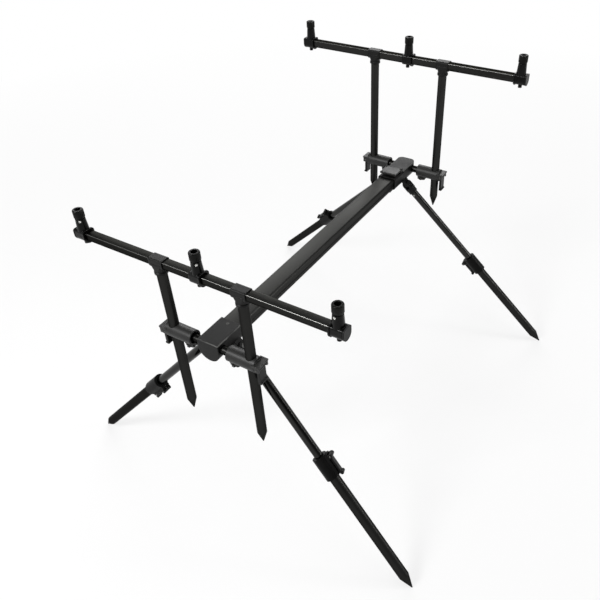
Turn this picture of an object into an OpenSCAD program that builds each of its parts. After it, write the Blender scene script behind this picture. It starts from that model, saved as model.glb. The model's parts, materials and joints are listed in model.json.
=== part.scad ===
// Rod pod: a telescopic beam on four folding legs, with two upright frames that carry
// a buzz bar each and three alarm rests on each bar.
// +Z is up and the leg points stand on z = 0. The rear end, with the low bar, is at -Y.

/* [Stance] */
// Distance between the rear and front cross axles
axle_spacing = 642; // [600:1:760]
// Height of the cross axles above the ground
axle_height = 383.4; // [360:0.1:410]
// Sideways lean of the legs from the vertical, degrees
leg_splay = 41.7; // [38:0.1:45]
// Rearward lean of the rear legs, degrees
rear_leg_rake = 4; // [1:0.5:8]
// Forward lean of the front right leg, degrees
front_leg_rake = 8.5; // [4:0.5:12]
// Sideways lean of the front left leg, which is set wider, degrees
wide_leg_splay = 45.2; // [42:0.1:46]
// Forward lean of the front left leg, degrees
wide_leg_rake = 12.2; // [8:0.1:13]
// Height of the rear buzz bar above its axle
rear_bar_height = 126.7; // [100:0.1:160]
// Height of the front buzz bar above its axle
front_bar_height = 229.2; // [200:0.1:240]

/* [Main beam] */
// Width of the outer beam
beam_w = 34; // [32:0.5:36]
// Height of the outer beam
beam_h = 22; // [20:0.5:23]
// Corner radius of the outer beam
beam_corner = 4; // [3:0.5:6]
// Wall of the outer beam
beam_wall = 2; // [1.5:0.1:2.5]
// Width of the groove along each side of the beam
groove_w = 4; // [2:0.5:6]
// Depth of that groove
groove_depth = 0.7; // [0.3:0.1:1]
// Length of the sliding inner beam
inner_beam_len = 430; // [380:5:450]
// Wall of the inner beam
inner_beam_wall = 1.6; // [1.2:0.1:2]

/* [Heads] */
// Width of both heads
head_w = 39; // [38:0.5:44]
// Flat top of the heads above the axle
head_top = 12.6; // [12.4:0.1:16]
// Rounded bottom of the heads below the axle
head_keel = 23.4; // [21:0.1:26]
// Corner radius along the top of the heads
head_corner = 2; // [1:0.5:4]
// Bevel along the outer top edge of the rear head
head_bevel = 1.2; // [0.5:0.1:2]
// Reach of the rear head outside its axle
rear_head_out = 10; // [8:0.5:14]
// Reach of the rear head inside its axle
rear_head_in = 47; // [44:0.5:56]
// Reach of the front head outside its axle
front_head_out = 17; // [12:0.5:24]
// Reach of the front head inside its axle
front_head_in = 42; // [42:0.5:50]
// Plan radius of the front head's outer corners
front_head_round = 12; // [4:0.5:12]
// Depth of the seat that takes the beam's end in a head
beam_seat = 28; // [22:0.5:30]
// Diameter of the screw head on top of the rear head
head_screw_d = 5; // [3:0.5:6]
// That screw from the inner end of the head
head_screw_inset = 8; // [6:0.5:12]

/* [Leg hinges] */
// Leg hinge from the middle plane
hinge_x = 25.6; // [24:0.1:30]
// Leg hinge below the axle
hinge_drop = 20.1; // [19:0.1:26]
// Leg hinge inside the axle
hinge_inset = 34; // [31:0.5:34.5]
// Thickness of the lug on the head
lug_t = 7.6; // [6.8:0.2:8.4]
// Radius of the lug's round end
lug_r = 7; // [6:0.25:7.5]
// Room between the lug's end and the leg's socket
lug_room = 1.2; // [0.6:0.1:3]
// Diameter of the hinge pin
hinge_pin_d = 6; // [5:0.5:7]
// Diameter of the pin's heads
pin_head_d = 9.5; // [8:0.5:12]
// Thickness of the pin's heads
pin_head_t = 1; // [0.6:0.1:1.4]
// Thickness of each cheek of the leg's fork
cheek_t = 3; // [2.4:0.2:3.4]

/* [Legs] */
// Outer diameter of the upper tube
upper_tube_d = 15; // [14:0.25:16]
// Wall of the upper tube
upper_tube_wall = 1.2; // [1:0.1:1.6]
// Length of the upper tube
upper_tube_len = 305; // [285:1:310]
// Outer diameter of the lower tube
lower_tube_d = 18; // [17.5:0.25:19]
// Length of the lower tube
lower_tube_len = 237; // [225:1:250]
// Outer diameter of the fork's socket
socket_d = 18.8; // [18:0.2:20]
// Length of the fork's socket
socket_len = 13; // [12:0.5:20]
// Depth of the upper tube in the socket
socket_depth = 10; // [8:0.5:11]
// Length of the leg's pointed end
leg_spike_len = 25; // [20:0.5:30]
// Length of the plug that holds it in the tube
spike_plug_len = 14; // [10:0.5:16]
// Diameter of the blunt tip of every spike
spike_tip_d = 1.8; // [1:0.2:3]
// Diameter of the rivet below the socket
rivet_d = 3.4; // [2.5:0.1:4]
// Rivet below the socket
rivet_drop = 5.5; // [4:0.5:10]

/* [Leg clamps] */
// Outer diameter of the clamp collar
clamp_d = 25.2; // [24:0.2:27]
// Length of the clamp collar
clamp_len = 41; // [38:0.5:46]
// Length of the collar on the upper tube
clamp_grip = 12; // [10:0.5:15]
// Reach of the lever's pad from the leg's axis
clamp_pad_reach = 14.4; // [13.8:0.1:15]
// Width of the lever's pad
clamp_pad_w = 16; // [15:0.5:18]
// Lever's pivot below the collar's top
clamp_pivot_drop = 7; // [6:0.5:9]
// Radius of the lever's barrel
clamp_barrel_r = 3.6; // [3.2:0.1:4]
// Width of the lever between the ears
clamp_lever_w = 9.6; // [9:0.2:10]
// Thickness of the lever's plate
clamp_lever_t = 3.6; // [3:0.2:4]
// Length of the lever below its pivot
clamp_lever_len = 33; // [28:0.5:34]
// Diameter of all lever trunnions
trunnion_d = 3.6; // [3:0.2:4]

/* [Cross axles and sleeves] */
// Diameter of the cross axle
axle_d = 14; // [12:0.25:15]
// Length of the cross axle
axle_len = 124; // [118:0.5:126]
// Outer diameter of the clamp sleeves
sleeve_d = 25; // [23:0.25:27]
// Inner end of a sleeve from the middle plane
sleeve_start = 34; // [32:0.5:36]
// Outer end of a sleeve from the middle plane
sleeve_end = 84.5; // [84:0.5:88]
// Diameter of the recess at a sleeve's inner end
sleeve_mouth_d = 19.5; // [18:0.5:21]
// Depth of that recess
sleeve_mouth_depth = 4; // [2:0.5:6]
// Width of the flange over the sleeve's lever
flange_w = 24; // [22:0.5:26]
// Reach of the flange outside the sleeve's end
flange_reach = 10; // [9.5:0.5:13]
// Thickness of the flange
flange_t = 3; // [2:0.25:4]
// Underside of the flange above the axle
flange_rise = 4; // [2:0.25:6]
// Thickness of the flange's ears
ear_t = 3; // [2.4:0.2:3.4]
// Radius of the sleeve lever's barrel
sleeve_barrel_r = 4.2; // [4:0.1:4.6]
// Thickness of the sleeve lever
sleeve_lever_t = 4.6; // [3.6:0.2:5]
// Length of the sleeve lever below its pivot
sleeve_lever_len = 31; // [26:0.5:36]
// Diameter of the pinch nut under the sleeve
nut_d = 18; // [15:0.5:20]
// Height of the pinch nut
nut_h = 4; // [3:0.5:6]
// Diameter of the pinch nut's stud
nut_stud_d = 6; // [4:0.5:7]

/* [Uprights] */
// Distance between the two uprights of a frame
upright_spacing = 146; // [146:0.5:150]
// Outer diameter of an upright
upright_d = 16; // [15:0.25:16]
// Wall of an upright
upright_wall = 1.2; // [1:0.1:1.6]
// Length of an upright's tube
upright_len = 272; // [255:1:290]
// Length of an upright's pointed end
upright_spike_len = 23; // [18:0.5:28]

/* [Buzz bars] */
// Depth of the bar, front to back
bar_w = 14; // [13:0.25:15]
// Height of the bar
bar_h = 15.2; // [14.5:0.1:17]
// Wall of the bar
bar_wall = 1.4; // [1:0.1:1.8]
// Corner radius along the top of the bar
bar_edge = 1.2; // [0.6:0.1:2]
// Length of the bar
bar_len = 467; // [467:1:500]
// Thickness of the end caps
cap_t = 2.5; // [1.5:0.25:4]
// Rim of the end caps around the bar
cap_rim = 2.4; // [1:0.1:3]
// Depth of the cap's plug in the bar
cap_plug = 8; // [5:0.5:12]
// Length of a tee collar along the bar
tee_len = 25; // [23:0.5:30]
// Wall of a tee collar around the bar
tee_wall = 1.5; // [1.2:0.1:2.2]
// Top of the tee's ring below the bar
tee_drop = 13; // [12:0.25:16]
// Height of the tee's ring
tee_ring_h = 5; // [4:0.5:8]
// Diameter of the tee's ring
tee_ring_d = 20.4; // [19.6:0.2:24]
// Bevel of the tee's ring
tee_ring_bevel = 0.9; // [0.3:0.1:1.5]
// Wall of the tee's neck around the upright
tee_neck_wall = 1; // [0.8:0.1:1.2]
// Top of the upright below the bar
upright_gap = 9; // [8.8:0.1:10]

/* [Rests] */
// Outer rests from the middle of the bar
rest_offset = 223; // [200:0.5:223]
// Length of a rest's saddle along the bar
rest_len = 20; // [18:0.5:20]
// Wall of the saddle around the bar
rest_wall = 2.2; // [1.8:0.1:2.6]
// Thickness of the saddle's flange
rest_flange_t = 2.4; // [1.6:0.2:3]
// Rim of that flange outside the saddle
rest_flange_rim = 1.4; // [0.8:0.1:2]
// Diameter of the rest's neck at the bar
neck_foot_d = 17.6; // [16:0.2:18]
// Diameter of the rest's neck under its ring
neck_top_d = 15; // [14:0.2:16]
// Top of the neck above the bar
neck_top = 29; // [22:0.5:30]
// Top of the rest above the bar
rest_top = 43.2; // [40:0.2:48]
// Diameter of the knurled lock ring
ring_d = 16.4; // [15.8:0.1:18]
// Diameter of the threaded post inside the ring
post_d = 12.6; // [12.2:0.1:13]
// Diameter of the alarm thread
alarm_thread_d = 9.5; // [9:0.05:9.6]
// Depth of the alarm thread
alarm_thread_depth = 16; // [12:0.5:17]
// Diameter of the thumb screw under a rest
thumb_d = 7; // [5:0.25:8]
// Height of the thumb screw's head
thumb_h = 5; // [3:0.25:6]
// Diameter of the set screw in the neck
set_screw_d = 3.4; // [2:0.2:4]
// Inner end of the set screw from the rest's axis
set_screw_in = 5.2; // [5:0.1:5.6]
// Outer end of the set screw from the rest's axis
set_screw_out = 8.6; // [8.2:0.1:9]
// Set screw below the neck's top
set_screw_drop = 2.2; // [2.2:0.2:6]

/* [Beam lock] */
// Width of the lock collar
collar_w = 39; // [38:0.5:42]
// Wall of the collar above and below the beam
collar_wall = 1.5; // [1.2:0.1:2]
// Length of the lock collar
collar_len = 39; // [34:0.5:44]
// Thickness of the collar's end lip
collar_lip = 5; // [3:0.5:7]
// Width of the lock lever
lock_lever_w = 35; // [32:0.5:36]
// Reach of the lock lever from its pivot
lock_lever_len = 29; // [24:0.5:34]
// Thickness of the lock lever
lock_lever_t = 3; // [2.4:0.2:3.4]
// Radius of the lock lever's barrel
lock_barrel_r = 3.4; // [3:0.1:3.8]
// Length of the spring tongue under the collar
tongue_len = 30; // [20:1:34]
// Thickness of that tongue
tongue_t = 1.6; // [1:0.2:2]
// Root of the tongue from the collar's rear end
tongue_root = 22; // [18:1:28]
// Slope of the tongue, degrees
tongue_lean = 4; // [2:0.5:6]

/* [Fits] */
// Radial clearance of what turns on a pin or post
turn_fit = 0.05; // [0.03:0.01:0.08]
// Radial clearance of a tube or shaft that slides
slide_fit = 0.08; // [0.05:0.01:0.1]
// Gap beside what moves
side_gap = 0.3; // [0.2:0.05:0.4]
// Glue or thread gap between two pieces that are fixed together
seat_gap = 0.05; // [0.03:0.01:0.08]

/* [Hidden] */
$fn = 64;
ends = ["rear", "front"];
sides = ["left", "right"];
spots = ["left", "middle", "right"];
eps = 0.01;
// how far a cut runs past a face
over = 1;

// small details
fork_rim = 0.5;
fork_root = 6;
fork_shoulder = 1.6;
rivet_proud = 0.6;
head_screw_sink = 1;
head_screw_t = 1.3;
head_screw_drive = 0.6;
ear_rim = 1;
lock_edge = 2.5;
lip_r = 1.6;
lip_rise = 0.6;
clamp_pad_low = 3;
clamp_pad_high = 1.5;
clamp_hook_r = 3;
lever_inset = 0.2;
flange_root = 4;
nut_pad_inset = 2;
nut_pad_t = 0.8;
nut_stud_len = 4;
flute_count = 6;
flute_r = 3;
flute_out = 1.5;
lever_step = 1;
sleeve_hook_r = 2;
neck_flare = 0.6;
thumb_shift = 1;
thumb_room = 0.3;
ring_waist_h = 1.4;
ring_waist_depth = 1.2;

black = "#19191b";
satin_black = "#222225";
soft_black = "#141416";
steel = "#8f9296";

// the turn of each leg clamp round its leg, as it was last closed
clamp_turn = [["rear", -90, 60], ["front", 70, -90]];
// the turn of each rest's set screw round its post, left, middle and right
screw_turn = [["rear", 45, 45, 0], ["front", 180, 180, 180]];

half_head = head_w / 2;
sleeve_r = sleeve_d / 2;
keel_z = half_head - head_keel;
upright_x = upright_spacing / 2;
bar_r = bar_w / 2;
bar_top = bar_h / 2;
bar_round_z = bar_r - bar_top;
lower_tube_wall = (lower_tube_d - upper_tube_d) / 2 - slide_fit;
fork_half = lug_t / 2 + side_gap + cheek_t;
fork_r = lug_r + fork_rim;
socket_top = lug_r + lug_room;
tube_top = socket_top + socket_len - socket_depth;

function is_rear(e) = e == "rear";
function is_wide(e, s) = e == "front" && s == "left";
function splay(e, s) = is_wide(e, s) ? wide_leg_splay : leg_splay;
function rake(e, s) = is_rear(e) ? rear_leg_rake : is_wide(e, s) ? wide_leg_rake : front_leg_rake;
function bar_height(e) = is_rear(e) ? rear_bar_height : front_bar_height;
function turn_of(e, s) = clamp_turn[is_rear(e) ? 0 : 1][s == "left" ? 1 : 2];
function screw_face(e, p) = screw_turn[is_rear(e) ? 0 : 1][p == "left" ? 1 : p == "middle" ? 2 : 3];
function rest_x(p) = p == "left" ? -rest_offset : p == "right" ? rest_offset : 0;

// the leg's length from its hinge, so that the rim of its tip stands on the ground
function lean_cos(e, s) = cos(rake(e, s)) * cos(splay(e, s));
function lean_sin(e, s) = sqrt(1 - pow(lean_cos(e, s), 2));
function leg_len(e, s) = (axle_height - hinge_drop - spike_tip_d / 2 * lean_sin(e, s)) / lean_cos(e, s);
function lower_end(e, s) = leg_len(e, s) - leg_spike_len;
function lower_start(e, s) = lower_end(e, s) - lower_tube_len;
function clamp_start(e, s) = lower_start(e, s) - clamp_grip;

// how far a leg reaches sideways and outward, at the lower tube's end or at the tip
function tube_side(e, s) = lower_end(e, s) * cos(rake(e, s)) * sin(splay(e, s))
    + lower_tube_d / 2 * sqrt(1 - pow(cos(rake(e, s)) * sin(splay(e, s)), 2));
function tip_side(e, s) = leg_len(e, s) * cos(rake(e, s)) * sin(splay(e, s))
    + spike_tip_d / 2 * sqrt(1 - pow(cos(rake(e, s)) * sin(splay(e, s)), 2));
function leg_side(e, s) = hinge_x + max(tube_side(e, s), tip_side(e, s));
function leg_ahead(e, s) = -hinge_inset + max(
    lower_end(e, s) * sin(rake(e, s)) + lower_tube_d / 2 * cos(rake(e, s)),
    leg_len(e, s) * sin(rake(e, s)) + spike_tip_d / 2 * cos(rake(e, s)));

// the middle of the part on the ground, which is the origin
front_reach = axle_spacing + max([for (s = sides) leg_ahead("front", s)]);
rear_reach = -max(sleeve_r, flange_w / 2, bar_r + cap_rim, leg_ahead("rear", "left"));
left_reach = -max([for (e = ends) leg_side(e, "left")]);
right_reach = max([for (e = ends) leg_side(e, "right")]);
mid_x = (left_reach + right_reach) / 2;
mid_y = (front_reach + rear_reach) / 2;

rear_beam_y = rear_head_in - beam_seat;
collar_end_y = axle_spacing - front_head_in - side_gap;
collar_start_y = collar_end_y - collar_len;
beam_end_y = collar_end_y - collar_lip;
inner_end_y = axle_spacing - front_head_in + beam_seat;
inner_w = beam_w - 2 * beam_wall - 2 * slide_fit;
inner_h = beam_h - 2 * beam_wall - 2 * slide_fit;
inner_corner = beam_corner - beam_wall;
collar_top = beam_h / 2 + collar_wall;
collar_ear_in = lock_lever_w / 2 + side_gap - ear_t;
lock_y = collar_end_y - lock_barrel_r - lock_edge;
lock_z = collar_top + lock_barrel_r + side_gap;
lock_ear_r = lock_barrel_r + ear_rim;

ear_in = flange_w / 2 - ear_t;
sleeve_lever_x = sleeve_end + sleeve_barrel_r + side_gap;
sleeve_lever_z = flange_rise - sleeve_barrel_r - side_gap;
nut_x = sleeve_start + nut_d / 2;
nut_pad = nut_d / 2 - nut_pad_inset;
nut_seat = sleeve_r + nut_pad_t;

clamp_pivot = clamp_pad_reach + clamp_barrel_r + side_gap;
rest_flange_start = rest_len / 2 - rest_flange_t;
tee_neck_r = upright_d / 2 + tee_neck_wall;

// Placing helpers

// the beam's own frame: axle height, rear axle at y = 0
module at_axle() {
    translate([-mid_x, -mid_y, axle_height]) children();
}

// one end, drawn with its inboard side at +Y
module at_end(e) {
    at_axle() {
        if (is_rear(e)) children();
        else translate([0, axle_spacing, 0]) mirror([0, 1, 0]) children();
    }
}

// one side, drawn on the right
module on_side(s) {
    if (s == "right") children();
    else mirror([1, 0, 0]) children();
}

// one leg, drawn hanging straight down from its hinge with the hinge pin along X
module at_leg(e, s) {
    at_end(e) on_side(s) at_hinge(splay(e, s)) rotate([-rake(e, s), 0, 0]) children();
}

// a leg's hinge on the right, with its pin along X
module at_hinge(lean) {
    translate([hinge_x, hinge_inset, -hinge_drop]) rotate([0, -lean, 0]) children();
}

// one buzz bar, drawn with its centre line along X
module at_bar(e) {
    at_end(e) translate([0, 0, bar_height(e)]) children();
}

// a flat outline in X and Z, drawn out along Y
module along_y(from, to) {
    translate([0, to, 0]) rotate([90, 0, 0]) linear_extrude(to - from) children();
}

// a flat outline in Y and Z, drawn out along X
module along_x(from, to) {
    translate([from, 0, 0]) rotate([90, 0, 90]) linear_extrude(to - from) children();
}

module rod_x(r, from, to) {
    translate([from, 0, 0]) rotate([0, 90, 0]) cylinder(r = r, h = to - from);
}

module rod_y(r, from, to) {
    translate([0, to, 0]) rotate([90, 0, 0]) cylinder(r = r, h = to - from);
}

module box(low, high) {
    translate(low) cube(high - low);
}

module round_rect(w, h, r) {
    square([w - 2 * r, h], center = true);
    square([w, h - 2 * r], center = true);
    for (x = [-1, 1]) for (y = [-1, 1])
        translate([x * (w / 2 - r), y * (h / 2 - r)]) circle(r = r);
}

// the bar's outline: a flat top with small round corners and a round underside
module bar_outline(grow) {
    half = bar_r + grow;
    top = bar_top + grow;
    corner = max(bar_edge + grow, 0);
    translate([-half, bar_round_z]) square([2 * half, top - corner - bar_round_z]);
    translate([corner - half, bar_round_z]) square([2 * (half - corner), top - bar_round_z]);
    if (corner > 0) for (x = [-1, 1]) translate([x * (half - corner), top - corner]) circle(r = corner);
    translate([0, bar_round_z]) circle(r = half);
}

// the head's outline: flat top, upright sides and a round keel
module shield_outline() {
    intersection() {
        translate([0, keel_z]) circle(r = half_head);
        translate([-half_head, -head_keel]) square([head_w, half_head + eps]);
    }
    translate([-half_head, keel_z]) square([head_w, head_top - head_corner - keel_z]);
    translate([-half_head + head_corner, keel_z]) square([head_w - 2 * head_corner, head_top - keel_z]);
    for (x = [-1, 1])
        translate([x * (half_head - head_corner), head_top - head_corner]) circle(r = head_corner);
}

module spike(r, len, plug_r) {
    translate([0, 0, -len]) cylinder(r1 = spike_tip_d / 2, r2 = r, h = len - seat_gap);
    translate([0, 0, -seat_gap - eps]) cylinder(r = plug_r - seat_gap, h = spike_plug_len + seat_gap + eps);
}

// Beam

module main_beam() {
    color(satin_black) at_axle() difference() {
        along_y(rear_beam_y, beam_end_y) round_rect(beam_w, beam_h, beam_corner);
        along_y(rear_beam_y - eps, beam_end_y + eps)
            round_rect(beam_w - 2 * beam_wall, beam_h - 2 * beam_wall, inner_corner);
        for (x = [-1, 1]) translate([x * beam_w / 2, (rear_beam_y + beam_end_y) / 2, 0])
            cube([2 * groove_depth, beam_end_y - rear_beam_y + over, groove_w], center = true);
    }
}

module inner_beam() {
    color(satin_black) at_axle() difference() {
        along_y(inner_end_y - inner_beam_len, inner_end_y) round_rect(inner_w, inner_h, inner_corner);
        along_y(inner_end_y - inner_beam_len - eps, inner_end_y + eps)
            square([inner_w - 2 * inner_beam_wall, inner_h - 2 * inner_beam_wall], center = true);
    }
}

// Heads

module hinge_lug(lean) {
    at_hinge(lean) {
        rod_x(lug_r, -lug_t / 2, lug_t / 2);
        box([-lug_t / 2, -lug_r, 0], [lug_t / 2, lug_r, hinge_drop]);
    }
}

module hinge_hole(lean) {
    at_hinge(lean) rod_x(hinge_pin_d / 2, -fork_half - over, fork_half + over);
}

module rear_head() {
    color(black) at_end("rear") difference() {
        union() {
            along_y(-rear_head_out, rear_head_in) shield_outline();
            for (s = sides) on_side(s) hinge_lug(splay("rear", s));
        }
        along_y(rear_beam_y, rear_head_in + over) round_rect(beam_w, beam_h, beam_corner);
        rod_x(axle_d / 2, -head_w, head_w);
        for (s = sides) on_side(s) hinge_hole(splay("rear", s));
        at_head_screw() cylinder(r = head_screw_d / 2, h = head_screw_t + over);
        translate([0, -rear_head_out, head_top]) rotate([45, 0, 0])
            cube([head_w + 2 * over, head_bevel * sqrt(2), head_bevel * sqrt(2)], center = true);
    }
}

// the seat of the head's screw, with z = 0 at its floor
module at_head_screw() {
    translate([0, rear_head_in - head_screw_inset, head_top - head_screw_sink]) children();
}

module head_screw() {
    color(steel) at_end("rear") at_head_screw() difference() {
        cylinder(r = head_screw_d / 2, h = head_screw_t);
        translate([0, 0, head_screw_t - head_screw_drive])
            cylinder(r = head_screw_d / 4, h = over, $fn = 6);
    }
}

module front_head() {
    plan_len = front_head_in + front_head_out + 2 * front_head_round;
    color(black) at_end("front") difference() {
        union() {
            intersection() {
                along_y(-front_head_out, front_head_in) shield_outline();
                translate([0, (plan_len - 2 * front_head_out) / 2, -head_keel - over])
                    linear_extrude(head_keel + head_top + 2 * over)
                        round_rect(head_w, plan_len, front_head_round);
            }
            for (s = sides) on_side(s) hinge_lug(splay("front", s));
        }
        along_y(front_head_in - beam_seat, front_head_in + over) round_rect(inner_w, inner_h, inner_corner);
        rod_x(axle_d / 2, -head_w, head_w);
        for (s = sides) on_side(s) hinge_hole(splay("front", s));
    }
}

module cross_axle(e) {
    color(satin_black) at_end(e) rod_x(axle_d / 2, -axle_len / 2, axle_len / 2);
}

module hinge_pins(e) {
    reach = fork_half + side_gap;
    color(steel) at_end(e) for (s = sides) on_side(s)
        at_hinge(splay(e, s)) {
            rod_x(hinge_pin_d / 2, -reach - pin_head_t, reach + pin_head_t);
            rod_x(pin_head_d / 2, reach, reach + pin_head_t);
            rod_x(pin_head_d / 2, -reach - pin_head_t, -reach);
        }
}

// Beam lock

module lock_collar() {
    color(soft_black) at_axle() difference() {
        union() {
            along_y(collar_start_y, collar_end_y)
                round_rect(collar_w, beam_h + 2 * collar_wall, beam_corner);
            for (x = [-1, 1]) translate([x * (lock_lever_w / 2 + side_gap - ear_t / 2), lock_y, 0]) {
                translate([0, 0, lock_z]) rod_x(lock_ear_r, -ear_t / 2, ear_t / 2);
                box([-ear_t / 2, -lock_ear_r, beam_h / 2], [ear_t / 2, lock_ear_r, lock_z]);
            }
            translate([0, collar_start_y + tongue_root, -collar_top]) rotate([tongue_lean, 0, 0])
                box([-beam_w / 2 + beam_corner, -tongue_len, -tongue_t], [beam_w / 2 - beam_corner, 0, 0]);
        }
        along_y(collar_start_y - over, beam_end_y) round_rect(beam_w, beam_h, beam_corner);
        along_y(beam_end_y - eps, collar_end_y + eps)
            round_rect(inner_w + 2 * slide_fit, inner_h + 2 * slide_fit, inner_corner);
        translate([0, lock_y, lock_z]) rod_x(trunnion_d / 2 + turn_fit, -collar_w, collar_w);
    }
}

module lock_lever() {
    narrow = 2 * (collar_ear_in - side_gap);
    clear_y = lock_ear_r + side_gap;
    color(soft_black) at_axle() translate([0, lock_y, lock_z]) {
        rod_x(lock_barrel_r, -narrow / 2, narrow / 2);
        rod_x(trunnion_d / 2, -lock_lever_w / 2 - side_gap, lock_lever_w / 2 + side_gap);
        box([-narrow / 2, -clear_y - over, lock_barrel_r - lock_lever_t], [narrow / 2, 0, lock_barrel_r]);
        box([-lock_lever_w / 2, -lock_lever_len, lock_barrel_r - lock_lever_t],
            [lock_lever_w / 2, -clear_y, lock_barrel_r]);
        translate([0, lip_r - lock_lever_len, lock_barrel_r - lip_rise])
            rod_x(lip_r, -lock_lever_w / 2, lock_lever_w / 2);
    }
}

// Legs, drawn hanging down the Z axis from the hinge

module leg_knuckle(e, s) {
    color(black) at_leg(e, s) difference() {
        union() {
            translate([0, 0, -socket_top - socket_len]) cylinder(r = socket_d / 2, h = socket_len);
            intersection() {
                for (x = [-1, 1]) translate([x * (fork_half - cheek_t / 2), 0, 0]) {
                    rod_x(fork_r, -cheek_t / 2, cheek_t / 2);
                    box([-cheek_t / 2, -fork_r, -socket_top - fork_root], [cheek_t / 2, fork_r, 0]);
                }
                union() {
                    translate([0, 0, -socket_top - fork_root])
                        cylinder(r = socket_d / 2 + fork_shoulder, h = socket_top + fork_root);
                    box([-fork_half, -fork_r, -socket_top], [fork_half, fork_r, fork_r]);
                }
            }
        }
        translate([0, 0, -socket_top - socket_len - eps])
            cylinder(r = upper_tube_d / 2, h = socket_depth + eps);
        rod_x(hinge_pin_d / 2 + turn_fit, -fork_half - over, fork_half + over);
    }
}

module leg_upper_tube(e, s) {
    rivet_z = -socket_top - socket_len - rivet_drop;
    rivet_reach = upper_tube_d / 2 + rivet_proud;
    color(satin_black) at_leg(e, s) {
        difference() {
            translate([0, 0, -tube_top - upper_tube_len])
                cylinder(r = upper_tube_d / 2, h = upper_tube_len);
            translate([0, 0, -tube_top - upper_tube_len - eps])
                cylinder(r = upper_tube_d / 2 - upper_tube_wall, h = upper_tube_len + 2 * eps);
            translate([0, 0, rivet_z]) rod_y(rivet_d / 2, -upper_tube_d, upper_tube_d);
        }
        translate([0, 0, rivet_z])
            rod_y(rivet_d / 2 - seat_gap, -rivet_reach, rivet_reach);
    }
}

// the clamp's own frame: z = 0 at its top end, the lever on the +X side
module at_clamp(e, s) {
    at_leg(e, s) translate([0, 0, -clamp_start(e, s)]) rotate([0, 0, 90 - turn_of(e, s)]) children();
}

module leg_clamp(e, s) {
    ear_low = clamp_lever_w / 2 + side_gap;
    color(soft_black) at_clamp(e, s) difference() {
        union() {
            translate([0, 0, -clamp_len]) cylinder(r = clamp_d / 2, h = clamp_len);
            box([0, -clamp_pad_w / 2, -clamp_len + clamp_pad_low],
                [clamp_pad_reach, clamp_pad_w / 2, -clamp_pad_high]);
            for (y = [-1, 1]) translate([0, y * (ear_low + clamp_pad_w / 2) / 2, 0]) {
                half_t = (clamp_pad_w / 2 - ear_low) / 2;
                box([0, -half_t, -clamp_pivot_drop - clamp_barrel_r],
                    [clamp_pivot, half_t, -clamp_pivot_drop + clamp_barrel_r]);
                translate([clamp_pivot, 0, -clamp_pivot_drop]) rod_y(clamp_barrel_r, -half_t, half_t);
            }
        }
        translate([0, 0, -clamp_len - eps])
            cylinder(r = lower_tube_d / 2, h = clamp_len - clamp_grip + eps);
        translate([0, 0, -clamp_len]) cylinder(r = upper_tube_d / 2 + slide_fit, h = clamp_len + over);
        translate([clamp_pivot, 0, -clamp_pivot_drop])
            rod_y(trunnion_d / 2 + turn_fit, -clamp_pad_w, clamp_pad_w);
    }
}

module leg_lever(e, s) {
    color(black) at_clamp(e, s) translate([clamp_pivot, 0, -clamp_pivot_drop]) {
        rod_y(clamp_barrel_r, -clamp_lever_w / 2, clamp_lever_w / 2);
        rod_y(trunnion_d / 2, -clamp_pad_w / 2, clamp_pad_w / 2);
        box([lever_inset - clamp_barrel_r, -clamp_lever_w / 2, -clamp_lever_len],
            [lever_inset - clamp_barrel_r + clamp_lever_t, clamp_lever_w / 2, 0]);
        translate([clamp_lever_t - clamp_barrel_r, 0, -clamp_lever_len])
            rod_y(clamp_hook_r, -clamp_lever_w / 2, clamp_lever_w / 2);
    }
}

module leg_lower_tube(e, s) {
    bore_r = lower_tube_d / 2 - lower_tube_wall;
    color(satin_black) at_leg(e, s) {
        difference() {
            translate([0, 0, -lower_end(e, s)]) cylinder(r = lower_tube_d / 2, h = lower_tube_len);
            translate([0, 0, -lower_end(e, s) - eps]) cylinder(r = bore_r, h = lower_tube_len + 2 * eps);
        }
        translate([0, 0, -lower_end(e, s)]) spike(lower_tube_d / 2, leg_spike_len, bore_r);
    }
}

// Upright frames

module sleeve() {
    difference() {
        union() {
            rod_x(sleeve_r, sleeve_start, sleeve_end);
            box([sleeve_end - flange_root, -flange_w / 2, flange_rise],
                [sleeve_end + flange_reach, flange_w / 2, flange_rise + flange_t]);
            for (y = [-1, 1]) translate([0, y * (ear_in + ear_t / 2), 0])
                box([sleeve_end - flange_root + over, -ear_t / 2, sleeve_lever_z - sleeve_barrel_r],
                    [sleeve_lever_x + sleeve_barrel_r, ear_t / 2, flange_rise + flange_t / 2]);
            box([nut_x - nut_pad, -nut_pad, -nut_seat], [nut_x + nut_pad, nut_pad, 0]);
        }
        rod_x(axle_d / 2 + turn_fit, sleeve_start - over, axle_len / 2 + side_gap);
        rod_x(sleeve_mouth_d / 2, sleeve_start - over, sleeve_start + sleeve_mouth_depth);
        translate([upright_x, 0, -sleeve_d]) cylinder(r = upright_d / 2 + slide_fit, h = 2 * sleeve_d);
        translate([nut_x, 0, -nut_seat - over]) cylinder(r = nut_stud_d / 2, h = nut_stud_len + over);
        translate([sleeve_lever_x, 0, sleeve_lever_z])
            rod_y(trunnion_d / 2 + turn_fit, -flange_w, flange_w);
    }
}

module pinch_nut() {
    translate([nut_x, 0, -nut_seat - seat_gap]) {
        difference() {
            translate([0, 0, -nut_h]) cylinder(r = nut_d / 2, h = nut_h);
            for (i = [0:flute_count - 1]) rotate([0, 0, i * 360 / flute_count])
                translate([nut_d / 2 + flute_out, 0, -nut_h - over])
                    cylinder(r = flute_r, h = nut_h + 2 * over);
        }
        translate([0, 0, -eps]) cylinder(r = nut_stud_d / 2 - seat_gap, h = nut_stud_len);
    }
}

module sleeves(e) {
    color(soft_black) at_end(e) for (s = sides) on_side(s) {
        sleeve();
        pinch_nut();
    }
}

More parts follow.
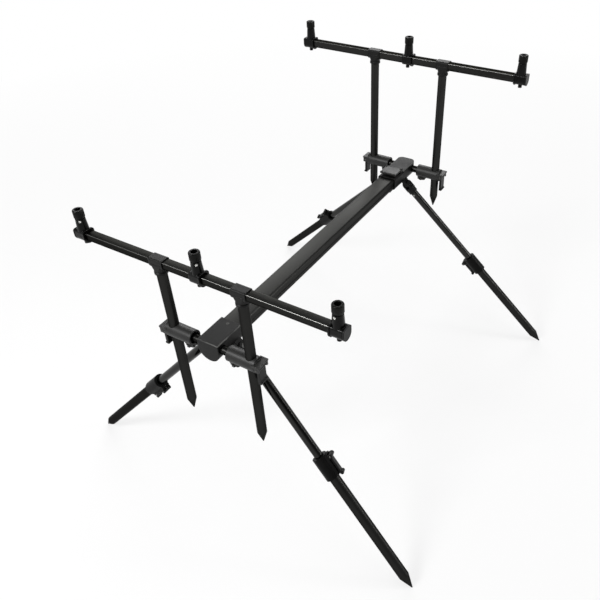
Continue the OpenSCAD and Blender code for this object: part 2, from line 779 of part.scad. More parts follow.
module sleeve_lever(e, s) {
    half_w = ear_in - side_gap;
    plate = half_w - lever_step;
    color(black) at_end(e) on_side(s) translate([sleeve_lever_x, 0, sleeve_lever_z]) {
        rod_y(sleeve_barrel_r, -half_w, half_w);
        rod_y(trunnion_d / 2, -flange_w / 2, flange_w / 2);
        box([-sleeve_lever_t / 2, -plate, -sleeve_lever_len], [sleeve_lever_t / 2, plate, 0]);
        translate([sleeve_lever_t / 2, 0, sleeve_hook_r - sleeve_lever_len])
            rod_y(sleeve_hook_r, -plate, plate);
    }
}

module uprights(e) {
    color(satin_black) at_bar(e) for (s = sides) on_side(s)
        translate([upright_x, 0, -upright_gap - upright_len]) difference() {
            cylinder(r = upright_d / 2, h = upright_len);
            translate([0, 0, -eps]) cylinder(r = upright_d / 2 - upright_wall, h = upright_len + 2 * eps);
        }
}

module upright_spikes(e) {
    color(black) at_bar(e) for (s = sides) on_side(s)
        translate([upright_x, 0, -upright_gap - upright_len])
            spike(upright_d / 2, upright_spike_len, upright_d / 2 - upright_wall);
}

// a ring with a bevel along its top and bottom
module tee_ring() {
    r = tee_ring_d / 2;
    cylinder(r1 = r - tee_ring_bevel, r2 = r, h = tee_ring_bevel);
    translate([0, 0, tee_ring_bevel]) cylinder(r = r, h = tee_ring_h - 2 * tee_ring_bevel);
    translate([0, 0, tee_ring_h - tee_ring_bevel])
        cylinder(r1 = r, r2 = r - tee_ring_bevel, h = tee_ring_bevel);
}

module tee_collars(e) {
    color(soft_black) at_bar(e) for (s = sides) on_side(s) difference() {
        union() {
            along_x(upright_x - tee_len / 2, upright_x + tee_len / 2) bar_outline(tee_wall);
            intersection() {
                translate([upright_x, 0, -tee_drop])
                    cylinder(r1 = tee_neck_r, r2 = tee_len / 2, h = tee_drop);
                box([upright_x - tee_len, -tee_neck_r, -tee_drop], [upright_x + tee_len, tee_neck_r, 0]);
            }
            translate([upright_x, 0, -tee_drop - tee_ring_h]) tee_ring();
        }
        along_x(upright_x - tee_len, upright_x + tee_len) bar_outline(0);
        translate([upright_x, 0, -upright_gap - upright_len]) cylinder(r = upright_d / 2, h = upright_len);
    }
}

module buzz_bar(e) {
    color(satin_black) at_bar(e) difference() {
        along_x(-bar_len / 2, bar_len / 2) bar_outline(0);
        along_x(-bar_len / 2 - eps, bar_len / 2 + eps) bar_outline(-bar_wall);
    }
}

module bar_caps(e) {
    color(soft_black) at_bar(e) for (s = sides) on_side(s) {
        along_x(bar_len / 2, bar_len / 2 + cap_t) bar_outline(cap_rim);
        along_x(bar_len / 2 - cap_plug, bar_len / 2 + eps) bar_outline(-bar_wall);
    }
}

// Rests

// a rest's own frame: its post on the Z axis, its flange at +X, z = 0 at the bar's centre
module at_rest(e, p) {
    at_bar(e) translate([rest_x(p), 0, 0]) on_side(p == "right" ? "left" : "right") children();
}

module rest(e, p) {
    screw_z = neck_top - set_screw_drop;
    thumb_z = bar_round_z - bar_r - rest_wall;
    color(soft_black) at_rest(e, p) {
        difference() {
            union() {
                along_x(-rest_len / 2, rest_len / 2) bar_outline(rest_wall);
                along_x(rest_flange_start, rest_len / 2) bar_outline(rest_wall + rest_flange_rim);
                cylinder(r1 = neck_foot_d / 2 + neck_flare, r2 = neck_top_d / 2, h = neck_top);
                translate([0, 0, neck_top - eps]) cylinder(r = post_d / 2, h = rest_top - neck_top + eps);
            }
            along_x(-rest_len, rest_len) bar_outline(slide_fit);
            translate([0, 0, rest_top - alarm_thread_depth])
                cylinder(r = alarm_thread_d / 2, h = alarm_thread_depth + over);
            translate([0, 0, screw_z]) rotate([0, 0, screw_face(e, p)])
                rod_y(set_screw_d / 2, -neck_foot_d, -set_screw_in);
            translate([-thumb_shift, 0, thumb_z - over])
                cylinder(r = thumb_d / 4, h = rest_wall + 2 * over);
        }
        translate([0, 0, screw_z]) rotate([0, 0, screw_face(e, p)])
            rod_y(set_screw_d / 2 - seat_gap, -set_screw_out, -set_screw_in - seat_gap);
        translate([-thumb_shift, 0, thumb_z - thumb_h]) {
            cylinder(r = thumb_d / 2, h = thumb_h - seat_gap);
            cylinder(r = thumb_d / 4 - seat_gap, h = thumb_h + rest_wall - slide_fit - thumb_room);
        }
    }
}

module lock_ring(e, p) {
    low = neck_top + side_gap;
    color(black) at_rest(e, p) difference() {
        union() {
            translate([0, 0, low]) cylinder(r = ring_d / 2 - ring_waist_depth, h = ring_waist_h + eps);
            translate([0, 0, low + ring_waist_h])
                cylinder(r = ring_d / 2, h = rest_top - low - ring_waist_h);
        }
        translate([0, 0, low - over]) cylinder(r = post_d / 2 + turn_fit, h = rest_top);
    }
}

main_beam();
rear_head();
head_screw();
lock_collar();
lock_lever();
inner_beam();
front_head();
for (e = ends) {
    cross_axle(e);
    hinge_pins(e);
    sleeves(e);
    uprights(e);
    upright_spikes(e);
    tee_collars(e);
    buzz_bar(e);
    bar_caps(e);
    for (s = sides) {
        leg_knuckle(e, s);
        leg_upper_tube(e, s);
        leg_clamp(e, s);
        leg_lower_tube(e, s);
        leg_lever(e, s);
        sleeve_lever(e, s);
    }
    for (p = spots) {
        rest(e, p);
        lock_ring(e, p);
    }
}
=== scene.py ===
import json
import math

import bmesh
import bpy
from mathutils import Matrix, Vector


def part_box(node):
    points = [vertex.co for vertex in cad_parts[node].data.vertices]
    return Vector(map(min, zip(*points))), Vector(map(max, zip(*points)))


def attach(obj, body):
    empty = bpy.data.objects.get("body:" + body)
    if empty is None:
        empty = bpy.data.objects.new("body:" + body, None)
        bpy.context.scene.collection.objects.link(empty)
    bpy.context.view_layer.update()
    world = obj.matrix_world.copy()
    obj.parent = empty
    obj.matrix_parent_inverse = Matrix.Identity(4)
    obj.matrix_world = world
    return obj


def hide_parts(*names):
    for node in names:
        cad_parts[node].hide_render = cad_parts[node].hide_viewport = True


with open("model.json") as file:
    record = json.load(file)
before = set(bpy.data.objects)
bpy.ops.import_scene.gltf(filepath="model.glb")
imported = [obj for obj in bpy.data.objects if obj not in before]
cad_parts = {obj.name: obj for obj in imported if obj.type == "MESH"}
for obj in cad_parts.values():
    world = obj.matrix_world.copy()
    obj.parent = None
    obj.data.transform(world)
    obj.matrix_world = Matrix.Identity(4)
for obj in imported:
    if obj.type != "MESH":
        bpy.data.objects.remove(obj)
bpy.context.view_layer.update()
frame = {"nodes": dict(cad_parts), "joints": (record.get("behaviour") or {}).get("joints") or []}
nodes = frame["nodes"]
joints = {joint["name"]: joint for joint in frame["joints"]}
ENDS = ("rear", "front")
SIDES = ("left", "right")
SPOTS = ("left", "middle", "right")


# Camera, set to the photograph's view

IMAGE_SIZE = 600
SENSOR_WIDTH = 36
FAR_CLIP = 60
FOCAL_PIXELS = 648.05
CENTRE_PIXEL = (345.42, 289.78)
CAMERA_PLACE = (0.5600, -0.8583, 1.0445)
CAMERA_HEADING = 31.21
CAMERA_TILT = 51.63
CAMERA_ROLL = -1.34

camera = bpy.data.objects.new("camera", bpy.data.cameras.new("camera"))
camera.data.sensor_width = SENSOR_WIDTH
camera.data.lens = SENSOR_WIDTH * FOCAL_PIXELS / IMAGE_SIZE
camera.data.shift_x = (IMAGE_SIZE / 2 - CENTRE_PIXEL[0]) / IMAGE_SIZE
camera.data.shift_y = (CENTRE_PIXEL[1] - IMAGE_SIZE / 2) / IMAGE_SIZE
camera.data.clip_end = FAR_CLIP
camera.matrix_world = (
    Matrix.Translation(CAMERA_PLACE)
    @ Matrix.Rotation(math.radians(CAMERA_HEADING), 4, "Z")
    @ Matrix.Rotation(math.radians(CAMERA_TILT), 4, "X")
    @ Matrix.Rotation(math.radians(CAMERA_ROLL), 4, "Z")
)
bpy.context.scene.collection.objects.link(camera)
bpy.context.scene.camera = camera


# Material helpers

BEVEL_SAMPLES = 6
WORN_RANGE = (0.02, 0.25)
RIDGE_RANGE = (0.12, 0.42)
NOISE_RANGE = (0.3, 0.7)
NOISE_ROUGHNESS = 0.55
FINE_DETAIL = 2
GRAIN_DETAIL = 3
CLOUD_DETAIL = 4
WARMTH = 0.96


def ramp(tree, value, start, end, low, high):
    """A value mapped from one range to another, whose high end may be another node's output."""
    made = tree.nodes.new("ShaderNodeMapRange")
    made.inputs["From Min"].default_value = start
    made.inputs["From Max"].default_value = end
    made.inputs["To Min"].default_value = low
    if isinstance(high, (int, float)):
        made.inputs["To Max"].default_value = high
    else:
        tree.links.new(high, made.inputs["To Max"])
    tree.links.new(value, made.inputs["Value"])
    return made.outputs["Result"]


class Shader:
    """A node material with short calls for the few nodes that the finishes share."""

    def __init__(self, name):
        self.material = bpy.data.materials.new(name)
        self.material.use_nodes = True
        self.tree = self.material.node_tree
        self.bsdf = self.tree.nodes["Principled BSDF"]

    def add(self, kind, **settings):
        made = self.tree.nodes.new(kind)
        for name, value in settings.items():
            setattr(made, name, value)
        return made

    def link(self, source, target):
        self.tree.links.new(source, target)

    def place(self, direction, stretch):
        """Object coordinates turned so that Z runs along a direction and is stretched along it."""
        coords = self.add("ShaderNodeTexCoord")
        turn = self.add("ShaderNodeMapping")
        upright = Vector(direction).rotation_difference(Vector((0, 0, 1)))
        turn.inputs["Rotation"].default_value = upright.to_euler()
        squeeze = self.add("ShaderNodeMapping")
        squeeze.inputs["Scale"].default_value = (1, 1, 1 / stretch)
        self.link(coords.outputs["Object"], turn.inputs["Vector"])
        self.link(turn.outputs["Vector"], squeeze.inputs["Vector"])
        return squeeze.outputs["Vector"]

    def noise(self, where, scale, detail):
        made = self.add("ShaderNodeTexNoise")
        made.inputs["Scale"].default_value = scale
        made.inputs["Detail"].default_value = detail
        made.inputs["Roughness"].default_value = NOISE_ROUGHNESS
        self.link(where, made.inputs["Vector"])
        return made.outputs["Fac"]

    def span(self, value, low, high, within=NOISE_RANGE):
        return ramp(self.tree, value, *within, low, high)

    def math(self, operation, first, second):
        made = self.add("ShaderNodeMath", operation=operation)
        for socket, value in zip(made.inputs, (first, second)):
            if isinstance(value, (int, float)):
                socket.default_value = value
            else:
                self.link(value, socket)
        return made.outputs["Value"]

    def total(self, first, first_share, second, second_share):
        """The sum of two values, each times its share."""
        one = self.math("MULTIPLY", first, first_share)
        other = self.math("MULTIPLY", second, second_share)
        return self.math("ADD", one, other)

    def coordinate(self, kind, axis):
        """One axis of the object's coordinates, or of its normal."""
        coords = self.add("ShaderNodeTexCoord")
        parts = self.add("ShaderNodeSeparateXYZ")
        self.link(coords.outputs[kind], parts.inputs["Vector"])
        return parts.outputs[axis]

    def mix(self, factor, first, second):
        made = self.add("ShaderNodeMix", data_type="RGBA")
        self.link(factor, made.inputs["Factor"])
        colours = [socket for socket in made.inputs if socket.type == "RGBA"]
        for socket, value in zip(colours, (first, second)):
            if isinstance(value, tuple):
                socket.default_value = (*value, 1)
            else:
                self.link(value, socket)
        return next(socket for socket in made.outputs if socket.type == "RGBA")

    def edges(self, radius):
        """Rounded normals for the edges, and a factor that is above zero only on them."""
        soft = self.add("ShaderNodeBevel", samples=BEVEL_SAMPLES)
        soft.inputs["Radius"].default_value = radius
        geometry = self.add("ShaderNodeNewGeometry")
        match = self.add("ShaderNodeVectorMath", operation="DOT_PRODUCT")
        self.link(soft.outputs["Normal"], match.inputs[0])
        self.link(geometry.outputs["Normal"], match.inputs[1])
        worn = self.math("SUBTRACT", 1.0, match.outputs["Value"])
        return soft.outputs["Normal"], self.span(worn, 0.0, 1.0, WORN_RANGE)

    def ridges(self):
        """A factor that is above zero only on faces that slant upward, as on a top's round edges; it
        masks the painted edge highlights.
        """
        upright = self.coordinate("Normal", "Z")
        rest = self.math("SUBTRACT", 1.0, self.math("MULTIPLY", upright, upright))
        sideways = self.math("SQRT", rest, 0.0)
        return self.span(self.math("MULTIPLY", sideways, upright), 0.0, 1.0, RIDGE_RANGE)

    def above(self, height):
        """1 above a height, and 0 below it."""
        return self.math("GREATER_THAN", self.coordinate("Object", "Z"), height)

    def crown(self, axis, centre, slope, normal):
        """Normals of a face that is slightly domed across an axis, by a slope per metre."""
        off = self.math("SUBTRACT", self.coordinate("Object", axis), centre)
        height = self.math("MULTIPLY", self.math("MULTIPLY", off, off), -slope / 2)
        return self.bump(height, strength=1, distance=1, normal=normal)

    def bump(self, height, strength, distance, normal):
        made = self.add("ShaderNodeBump")
        made.inputs["Strength"].default_value = strength
        made.inputs["Distance"].default_value = distance
        self.link(height, made.inputs["Height"])
        self.link(normal, made.inputs["Normal"])
        return made.outputs["Normal"]


def tint(level):
    return (level, level, level * WARMTH)


TONE_RANGE = (0.36, 0.64)
DRAWN_STRETCH = 60
DRAWN_SCALE = 900
DRAWN_SHARE = 0.45
DRAWN_GLOSS = 0.03
CLOUD_SCALE = 26
CLOUD_SHARE = 0.55
CLOUD_GLOSS = 0.015
ETCH_SCALE = 2600
RELIEF_SHARE = 0.5
TUBE_EDGE = 0.0005
TUBE_EDGE_GLOSS = 0.1
TUBE_BUMP = (0.06, 0.00006)


def anodised(name, direction, dark=0.023, light=0.028, gloss=0.42, rim=0.45, edge_highlight=None, crown=None):
    """Black anodised tube: drawn streaks along it, a fine etched grain, glossier edges and, where asked,
    a painted highlight on faces that slant upward.
    """
    shader = Shader(name)
    along = shader.place(direction, DRAWN_STRETCH)
    even = shader.place(direction, 1)
    streaks = shader.noise(along, DRAWN_SCALE, FINE_DETAIL)
    cloud = shader.noise(even, CLOUD_SCALE, CLOUD_DETAIL)
    grain = shader.noise(even, ETCH_SCALE, FINE_DETAIL)
    normal, worn = shader.edges(TUBE_EDGE)
    if crown:
        normal = shader.crown(*crown, normal)
    tone = shader.total(streaks, DRAWN_SHARE, cloud, CLOUD_SHARE)
    colour = shader.mix(shader.span(tone, 0, 1, TONE_RANGE), tint(dark), tint(light))
    # Painted highlight: a lighter base colour on upward-slanting edge faces, standing in for a lamp's
    # bright line along the edge.
    if edge_highlight:
        colour = shader.mix(shader.ridges(), colour, tint(edge_highlight))
    fine = shader.span(streaks, gloss - DRAWN_GLOSS, gloss + DRAWN_GLOSS)
    broad = shader.span(cloud, -CLOUD_GLOSS, CLOUD_GLOSS)
    rough = shader.math("ADD", fine, broad)
    rough = shader.math("SUBTRACT", rough, shader.math("MULTIPLY", worn, TUBE_EDGE_GLOSS))
    relief = shader.total(streaks, RELIEF_SHARE, grain, RELIEF_SHARE)
    shader.link(colour, shader.bsdf.inputs["Base Color"])
    shader.link(rough, shader.bsdf.inputs["Roughness"])
    shader.link(shader.bump(relief, *TUBE_BUMP, normal), shader.bsdf.inputs["Normal"])
    shader.bsdf.inputs["Metallic"].default_value = 1
    shader.bsdf.inputs["Specular Tint"].default_value = (rim, rim, rim, 1)
    return shader.material


FLOW_SCALE = 38
FLOW_GLOSS = 0.04
GRAIN_GLOSS = 0.06
MOULD_EDGE_GLOSS = 0.14
MOULD_BUMP = (0.16, 0.00016)
HIGHLIGHT_PATCH_LEAST = 0.3
HIGHLIGHT_PATCH_RANGE = (0.38, 0.56)


def moulded(
    name, dark=0.0038, light=0.0058, gloss=0.44, shine=0.14, coarse=1500, edge=0.0009, edge_highlight=None
):
    """Black glass-filled plastic: a fine sparked grain, faint flow clouds, glossier edges and, where
    asked, a painted highlight in patches on upward-slanting edges near the top.
    """
    shader = Shader(name)
    even = shader.place((0, 0, 1), 1)
    grain = shader.noise(even, coarse, GRAIN_DETAIL)
    flow = shader.noise(even, FLOW_SCALE, CLOUD_DETAIL)
    normal, worn = shader.edges(edge)
    colour = shader.mix(shader.span(flow, 0, 1, TONE_RANGE), tint(dark), tint(light))
    # Painted highlight: a lighter base colour in patches on upward-slanting faces above a height,
    # standing in for light caught by the top edges.
    if edge_highlight:
        tone, height = edge_highlight
        highlight_patches = shader.span(flow, HIGHLIGHT_PATCH_LEAST, 1, HIGHLIGHT_PATCH_RANGE)
        highlight_mask = shader.math("MULTIPLY", shader.ridges(), shader.above(height))
        colour = shader.mix(shader.math("MULTIPLY", highlight_mask, highlight_patches), colour, tint(tone))
    fine = shader.span(grain, gloss - GRAIN_GLOSS, gloss + GRAIN_GLOSS)
    broad = shader.span(flow, -FLOW_GLOSS, FLOW_GLOSS)
    rough = shader.math("ADD", fine, broad)
    rough = shader.math("SUBTRACT", rough, shader.math("MULTIPLY", worn, MOULD_EDGE_GLOSS))
    shader.link(colour, shader.bsdf.inputs["Base Color"])
    shader.link(rough, shader.bsdf.inputs["Roughness"])
    shader.link(shader.bump(grain, *MOULD_BUMP, normal), shader.bsdf.inputs["Normal"])
    shader.bsdf.inputs["Specular IOR Level"].default_value = shine
    return shader.material


MARK_SCALE = 1800
MARK_GLOSS = 0.06
TARNISH_SCALE = 120
TARNISH_GLOSS = 0.05
STEEL_EDGE = 0.0003
STEEL_BUMP = (0.12, 0.0001)


def steel(name, dark, light, gloss):
    """Turned steel with fine tool marks, soft edges and a few clouds of tarnish."""
    shader = Shader(name)
    even = shader.place((0, 0, 1), 1)
    marks = shader.noise(even, MARK_SCALE, GRAIN_DETAIL)
    tarnish = shader.noise(even, TARNISH_SCALE, CLOUD_DETAIL)
    normal = shader.edges(STEEL_EDGE)[0]
    colour = shader.mix(shader.span(tarnish, 0, 1), tint(dark), tint(light))
    fine = shader.span(marks, gloss - MARK_GLOSS, gloss + MARK_GLOSS)
    rough = shader.math("ADD", fine, shader.span(tarnish, TARNISH_GLOSS, -TARNISH_GLOSS))
    shader.link(colour, shader.bsdf.inputs["Base Color"])
    shader.link(rough, shader.bsdf.inputs["Roughness"])
    shader.link(shader.bump(marks, *STEEL_BUMP, normal), shader.bsdf.inputs["Normal"])
    shader.bsdf.inputs["Metallic"].default_value = 1
    return shader.material


# Finishes

BEAM_CROWN = 5
BAR_CROWN = 15
# Tones of the painted highlights on the bars' and heads' upward-slanting edges, and how far below the
# head's top the painted highlight reaches.
BAR_HIGHLIGHT_TONE = 0.1
HEAD_HIGHLIGHT_TONE = 0.085
HEAD_HIGHLIGHT_DEPTH = 0.003


def middle(node):
    low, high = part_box(node)
    return (low + high) / 2


along_x = anodised("anodised_across", (1, 0, 0), dark=0.014, light=0.017, gloss=0.3, rim=0.26)
along_y = anodised(
    "anodised_beam",
    (0, 1, 0),
    dark=0.027,
    light=0.03,
    gloss=0.36,
    rim=0.6,
    crown=("X", middle("main_beam").x, BEAM_CROWN),
)
along_z = anodised("anodised_upright", (0, 0, 1))
plastic = moulded("moulded_black")
# Lighter than the other moulded parts: a painted lit tone for the sleeves' lit tops, also used on the
# lock lever.
sleeve_plastic_lit = moulded("moulded_sleeve_lit", dark=0.012, light=0.016, gloss=0.42, shine=0.24)
grained = moulded(
    "moulded_grained",
    dark=0.0042,
    light=0.006,
    gloss=0.48,
    shine=0.14,
    coarse=1100,
    edge=0.0014,
    # painted highlight on the heads' upward-slanting top edges
    edge_highlight=(HEAD_HIGHLIGHT_TONE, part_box("rear_head")[1].z - HEAD_HIGHLIGHT_DEPTH),
)
lever_plastic = moulded("moulded_lever", dark=0.0028, light=0.0045, gloss=0.4)
clamp_plastic = moulded("moulded_clamp", dark=0.0017, light=0.0029, gloss=0.42, shine=0.08)
rest_black = moulded("rest_black", dark=0.0016, light=0.0026, gloss=0.22, shine=0.12, coarse=2200)
ring_metal = anodised("anodised_ring", (0, 0, 1), dark=0.009, light=0.016, gloss=0.26, rim=0.8)
pin_steel = steel("pin_steel", dark=0.05, light=0.09, gloss=0.34)
rivet_steel = steel("rivet_steel", dark=0.2, light=0.3, gloss=0.3)
bright_steel = steel("bright_steel", dark=0.5, light=0.62, gloss=0.24)

finish = {
    "main_beam": along_y,
    "inner_beam": along_y,
    "rear_head": grained,
    "front_head": grained,
    "head_screw": pin_steel,
    "lock_collar": plastic,
    "lock_lever": sleeve_plastic_lit,
}
for end in ENDS:
    finish[f"{end}_axle"] = along_x
    finish[f"{end}_hinge_pins"] = pin_steel
    finish[f"{end}_sleeves"] = sleeve_plastic_lit
    finish[f"{end}_uprights"] = along_z
    finish[f"{end}_upright_spikes"] = along_z
    finish[f"{end}_tee_collars"] = plastic
    finish[f"{end}_buzz_bar"] = anodised(
        f"anodised_bar_{end}",
        (1, 0, 0),
        dark=0.022,
        light=0.026,
        gloss=0.3,
        rim=0.38,
        # painted highlight on the bar's upward-slanting edges
        edge_highlight=BAR_HIGHLIGHT_TONE,
        crown=("Y", middle(f"{end}_buzz_bar").y, BAR_CROWN),
    )
    finish[f"{end}_bar_caps"] = plastic
    for side in SIDES:
        leg_way = joints[f"leg_{end}_{side}_slide"]["axis"]
        finish[f"leg_knuckle_{end}_{side}"] = plastic
        finish[f"leg_upper_tube_{end}_{side}"] = anodised(
            f"anodised_upper_leg_{end}_{side}", leg_way, dark=0.026, light=0.032, gloss=0.18, rim=0.8
        )
        finish[f"leg_lower_tube_{end}_{side}"] = anodised(
            f"anodised_lower_leg_{end}_{side}", leg_way, dark=0.019, light=0.023, gloss=0.38
        )
        finish[f"leg_clamp_{end}_{side}"] = clamp_plastic
        finish[f"leg_lever_{end}_{side}"] = lever_plastic
        finish[f"sleeve_lever_{end}_{side}"] = lever_plastic
    for spot in SPOTS:
        finish[f"rest_{end}_{spot}"] = rest_black
        finish[f"lock_ring_{end}_{spot}"] = ring_metal

for name, made in nodes.items():
    made.data.materials.clear()
    made.data.materials.append(finish[name])


# Turned metal pieces, with their sizes in mm

MM = 0.001
HEX_SECTOR = math.radians(60)
SHARP_ANGLE = math.radians(35)
ROUND_STEPS = 48
KNURL_TEETH = 30
KNURL_DEPTH = 0.035
STEPS_PER_TOOTH = 6


def ring_reach(shape, angle):
    """How far a ring's outline reaches at an angle, as a share of its radius."""
    if shape == "hex":
        return math.cos(HEX_SECTOR / 2) / math.cos(angle % HEX_SECTOR - HEX_SECTOR / 2)
    if shape == "knurl":
        return 1 - KNURL_DEPTH * abs(math.sin(angle * KNURL_TEETH / 2))
    return 1


def turned(name, rings, place, direction, material, body, around=ROUND_STEPS, hollow=False):
    """A turned piece from rings of radius and height; a hollow one closes back on its first ring."""
    shape = bmesh.new()
    loops = []
    for radius, height, outline in rings:
        loop = []
        for step in range(around):
            angle = 2 * math.pi * step / around
            reach = radius * MM * ring_reach(outline, angle)
            loop.append(shape.verts.new((reach * math.cos(angle), reach * math.sin(angle), height * MM)))
        loops.append(loop)
    pairs = list(zip(loops, loops[1:]))
    if hollow:
        pairs.append((loops[-1], loops[0]))
    else:
        shape.faces.new(list(reversed(loops[0])))
        shape.faces.new(loops[-1])
    for low, high in pairs:
        for step in range(around):
            after = (step + 1) % around
            shape.faces.new((low[step], low[after], high[after], high[step]))
    bmesh.ops.recalc_face_normals(shape, faces=shape.faces)
    shape.transform(
        Matrix.Translation(place) @ Vector(direction).to_track_quat("Z", "Y").to_matrix().to_4x4()
    )
    mesh = bpy.data.meshes.new(name)
    shape.to_mesh(mesh)
    shape.free()
    mesh.materials.append(material)
    mesh.shade_smooth()
    mesh.set_sharp_from_angle(angle=SHARP_ANGLE)
    made = bpy.data.objects.new(name, mesh)
    bpy.context.scene.collection.objects.link(made)
    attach(made, body)
    return made


DOME = [(1.8, -0.1, "round"), (1.8, 0.22, "round"), (1.45, 0.5, "round"), (0.7, 0.66, "round")]
RIVET = [(2.3, -0.3, "round"), (2.3, 0.35, "round"), (1.9, 0.78, "round"), (1.1, 1.02, "round")]
SET_SCREW = [
    (1.8, -0.6, "round"),
    (1.8, 0.35, "round"),
    (1.55, 0.55, "round"),
    (1.05, 0.55, "hex"),
    (0.98, 0.08, "hex"),
]
WAIST_HEIGHT = 1.4
WAIST_DEPTH = 1.2
LOW_CHAMFER = 0.5
TOP_CHAMFER = 0.8
BORE_CHAMFER = 0.6


def knurled_rings(height, outer, bore):
    """The outline of a lock ring: a plain waist below, a straight knurl and chamfered ends."""
    return [
        (bore, 0, "round"),
        (outer - WAIST_DEPTH, 0, "round"),
        (outer - WAIST_DEPTH, WAIST_HEIGHT, "round"),
        (outer - LOW_CHAMFER, WAIST_HEIGHT, "round"),
        (outer, WAIST_HEIGHT + LOW_CHAMFER, "knurl"),
        (outer, height - TOP_CHAMFER, "knurl"),
        (outer - TOP_CHAMFER, height, "round"),
        (bore + BORE_CHAMFER, height, "round"),
        (bore, height - BORE_CHAMFER, "round"),
    ]


RING_OUTER = 8.2
RING_BORE = 6.4
NECK_SCREW_DROP = 2.5
NECK_SCREW_REACH = 8.6
NECK_SCREW_TURN = {"rear": (45, 45, 0), "front": (180, 180, 180)}

for end in ENDS:
    for spot, turn in zip(SPOTS, NECK_SCREW_TURN[end]):
        low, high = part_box(f"lock_ring_{end}_{spot}")
        foot = Vector(((low.x + high.x) / 2, (low.y + high.y) / 2, low.z))
        ring = turned(
            f"knurled_ring_{end}_{spot}",
            knurled_rings((high.z - low.z) / MM, RING_OUTER, RING_BORE),
            foot,
            (0, 0, 1),
            ring_metal,
            f"{end}_ring_{spot}",
            around=KNURL_TEETH * STEPS_PER_TOOTH,
            hollow=True,
        )
        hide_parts(f"lock_ring_{end}_{spot}")
        facing = Matrix.Rotation(math.radians(turn), 3, "Z") @ Vector((0, -1, 0))
        screw = turned(
            f"set_screw_{end}_{spot}",
            SET_SCREW,
            foot + (facing * NECK_SCREW_REACH - Vector((0, 0, NECK_SCREW_DROP))) * MM,
            facing,
            bright_steel,
            f"{end}_rest_{spot}",
        )

RIVET_DROP = 26.7
UPPER_TUBE_RADIUS = 7.5
CLAMP_EAR = 8
SLEEVE_EAR = 12
LOCK_EAR = 17.8


def pin_ends(name, joint, reach, body):
    """A domed head on each end of a lever's pivot."""
    pivot = Vector(joint["pos_m"])
    way = Vector(joint["axis"]).normalized()
    for side, sign in (("low", -1), ("high", 1)):
        outward = way * sign
        head = turned(f"{name}_{side}", DOME, pivot + outward * reach * MM, outward, pin_steel, body)


for end in ENDS:
    for side in SIDES:
        fold = joints[f"leg_{end}_{side}_fold"]
        down = -Vector(joints[f"leg_{end}_{side}_slide"]["axis"]).normalized()
        across = down.cross(Vector(fold["axis"])).normalized()
        seat = Vector(fold["pos_m"]) + down * RIVET_DROP * MM
        for face, sign in (("inner", -1), ("outer", 1)):
            outward = across * sign
            rivet = turned(
                f"leg_rivet_{end}_{side}_{face}",
                RIVET,
                seat + outward * UPPER_TUBE_RADIUS * MM,
                outward,
                rivet_steel,
                f"leg_{end}_{side}_upper",
            )
        pin_ends(
            f"clamp_pin_{end}_{side}",
            joints[f"leg_{end}_{side}_lever_flip"],
            CLAMP_EAR,
            f"leg_{end}_{side}_lever",
        )
        pin_ends(
            f"sleeve_pin_{end}_{side}",
            joints[f"sleeve_{end}_{side}_lever_flip"],
            SLEEVE_EAR,
            f"sleeve_{end}_{side}_lever",
        )
pin_ends("lock_pin", joints["lock_lever_flip"], LOCK_EAR, "lock_lever")


# Floor and light

FLOOR_HALF = 14
FLOOR_TONE = 0.68
FLOOR_ROUGHNESS = 0.9
FLOOR_GLOW_NEAR = 0.7
FLOOR_GLOW_FAR = 1
FLOOR_GLOW_START = 0.9
FLOOR_GLOW_END = 2.4
SKY_FADE_START = 0.12
SKY_FADE_END = 0.42
SKY_LIGHT_SIDE = 0.42
SKY_DIM_SIDE = 0.06
SKY_DIM_START = -0.2
SKY_DIM_END = 0.6
SKY_DIM_WAY = (0.75, -0.66, 0)

floor_corners = [
    (-FLOOR_HALF, -FLOOR_HALF, 0),
    (FLOOR_HALF, -FLOOR_HALF, 0),
    (FLOOR_HALF, FLOOR_HALF, 0),
    (-FLOOR_HALF, FLOOR_HALF, 0),
]
floor_mesh = bpy.data.meshes.new("floor")
floor_mesh.from_pydata(floor_corners, [], [(0, 1, 2, 3)])
floor = bpy.data.objects.new("floor", floor_mesh)
bpy.context.scene.collection.objects.link(floor)


def seen_directly(tree):
    """1 for what the camera sees, straight or in gloss or glass."""
    path = tree.nodes.new("ShaderNodeLightPath")
    last = path.outputs["Is Camera Ray"]
    for name in ("Is Glossy Ray", "Is Transmission Ray"):
        either = tree.nodes.new("ShaderNodeMath")
        either.operation = "MAXIMUM"
        tree.links.new(last, either.inputs[0])
        tree.links.new(path.outputs[name], either.inputs[1])
        last = either.outputs["Value"]
    return last


floor_look = bpy.data.materials.new("floor_white")
floor_look.use_nodes = True
tree = floor_look.node_tree
matt = tree.nodes["Principled BSDF"]
matt.inputs["Base Color"].default_value = (FLOOR_TONE, FLOOR_TONE, FLOOR_TONE, 1)
matt.inputs["Roughness"].default_value = FLOOR_ROUGHNESS
matt.inputs["Specular IOR Level"].default_value = 0
glow = tree.nodes.new("ShaderNodeEmission")
glow.inputs["Strength"].default_value = 1
blend = tree.nodes.new("ShaderNodeMixShader")
share = tree.nodes.new("ShaderNodeMath")
share.operation = "MULTIPLY"
coords = tree.nodes.new("ShaderNodeTexCoord")
away = tree.nodes.new("ShaderNodeVectorMath")
away.operation = "LENGTH"
tree.links.new(coords.outputs["Object"], away.inputs[0])
spread = ramp(
    tree, away.outputs["Value"], FLOOR_GLOW_START, FLOOR_GLOW_END, FLOOR_GLOW_NEAR, FLOOR_GLOW_FAR
)
tree.links.new(seen_directly(tree), share.inputs[0])
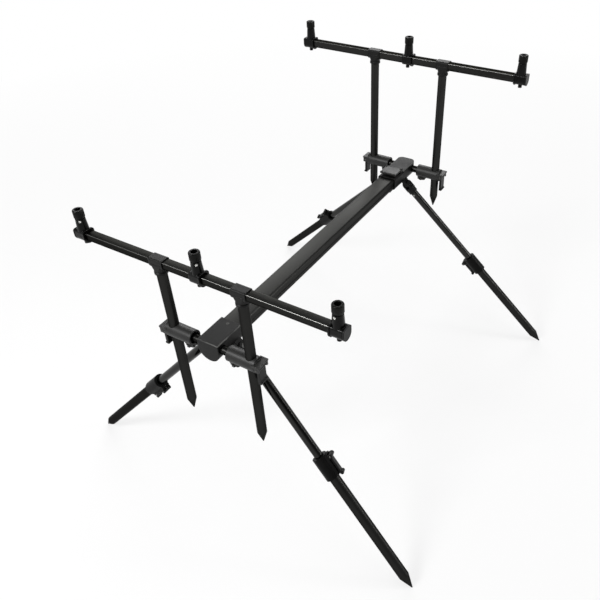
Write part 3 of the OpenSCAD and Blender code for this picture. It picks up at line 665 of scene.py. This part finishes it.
tree.links.new(spread, share.inputs[1])
tree.links.new(share.outputs["Value"], blend.inputs["Fac"])
tree.links.new(matt.outputs["BSDF"], blend.inputs[1])
tree.links.new(glow.outputs["Emission"], blend.inputs[2])
tree.links.new(blend.outputs["Shader"], tree.nodes["Material Output"].inputs["Surface"])
floor.data.materials.append(floor_look)

world = bpy.data.worlds.new("studio")
bpy.context.scene.world = world
world.use_nodes = True
tree = world.node_tree
sky = tree.nodes["Background"]
sky.inputs["Color"].default_value = (1, 1, 1, 1)
coords = tree.nodes.new("ShaderNodeTexCoord")
parts = tree.nodes.new("ShaderNodeSeparateXYZ")
toward = tree.nodes.new("ShaderNodeVectorMath")
toward.operation = "DOT_PRODUCT"
toward.inputs[1].default_value = SKY_DIM_WAY
tree.links.new(coords.outputs["Generated"], toward.inputs[0])
tree.links.new(coords.outputs["Generated"], parts.inputs["Vector"])
high_sky = ramp(
    tree, toward.outputs["Value"], SKY_DIM_START, SKY_DIM_END, SKY_LIGHT_SIDE, SKY_DIM_SIDE
)
strength = ramp(tree, parts.outputs["Z"], SKY_FADE_START, SKY_FADE_END, 1, high_sky)
tree.links.new(strength, sky.inputs["Strength"])


def softbox(name, place, target, width, height, power):
    lamp = bpy.data.lights.new(name, "AREA")
    lamp.shape = "RECTANGLE"
    lamp.size = width
    lamp.size_y = height
    lamp.energy = power
    made = bpy.data.objects.new(name, lamp)
    made.location = place
    made.rotation_euler = (Vector(target) - Vector(place)).to_track_quat("-Z", "Y").to_euler()
    bpy.context.scene.collection.objects.link(made)


softbox("top_box", (0.6, 0.1, 2.6), (0, 0, 0.3), width=2.0, height=2.0, power=30)
softbox("back_box", (-1.7, 2.35, 2.05), (0, 0, 0.4), width=3.0, height=0.9, power=60)
softbox("front_box", (-0.78, -1.8, 1.8), (0.1, -0.2, 0.4), width=0.66, height=0.66, power=44)
softbox("right_box", (2.1, 0.9, 0.9), (0.1, 0, 0.35), width=0.28, height=1.2, power=15)

bpy.context.scene.view_settings.view_transform = "Standard"
